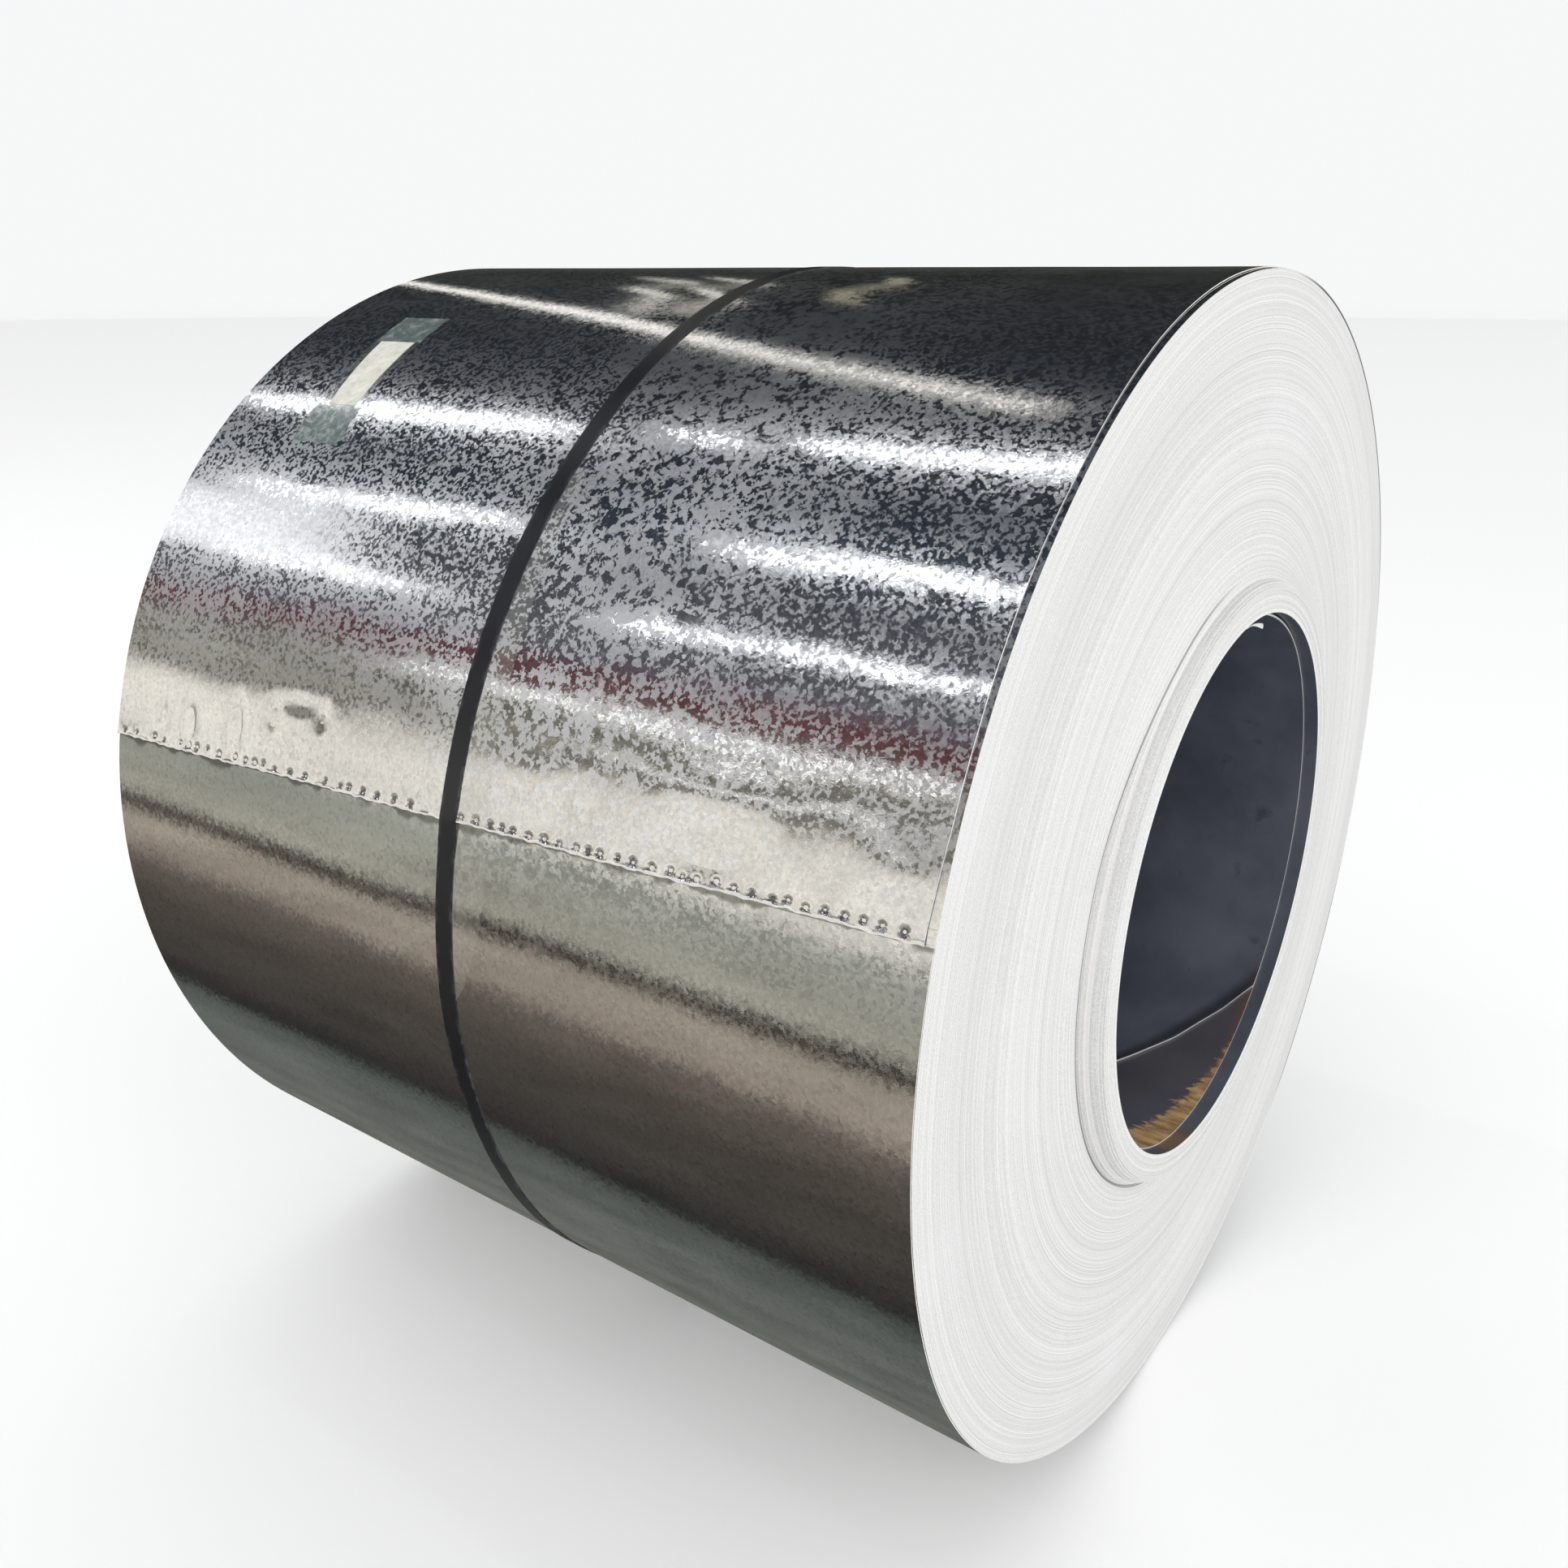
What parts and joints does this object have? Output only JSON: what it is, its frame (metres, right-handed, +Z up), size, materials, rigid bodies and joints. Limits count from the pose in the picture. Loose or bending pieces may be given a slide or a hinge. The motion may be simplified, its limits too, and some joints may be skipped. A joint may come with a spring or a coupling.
{
  "type": "steel coil",
  "caption": "Coil of zinc-coated steel strip lying on its side, held by a flat strap, its free end taped down; carried by its bore.",
  "frame": {"origin": "middle of the footprint, on the floor that the coil lies on", "axes": "+X along the eye, out of the end whose inner turns stand proud; +Z up; the strip's free end lies on the -Y side"},
  "size_m": [0.934, 1.0856, 1.0861],
  "materials": {
    "zinc_strip": "bright spangled zinc",
    "black_strap": "black lacquer, satin",
    "black_seal": "dark lacquer, worn at the crimps",
    "clear_tape": "clear film",
    "label_paper": "matte"
  },
  "bodies": {
    "root": {"coil": "zinc_strip", "strap": "black_strap", "strap_seal": "black_seal", "tail_tape": "clear_tape", "label_strip": "label_paper", "label_tape": "clear_tape"}
  },
  "joints": []
}
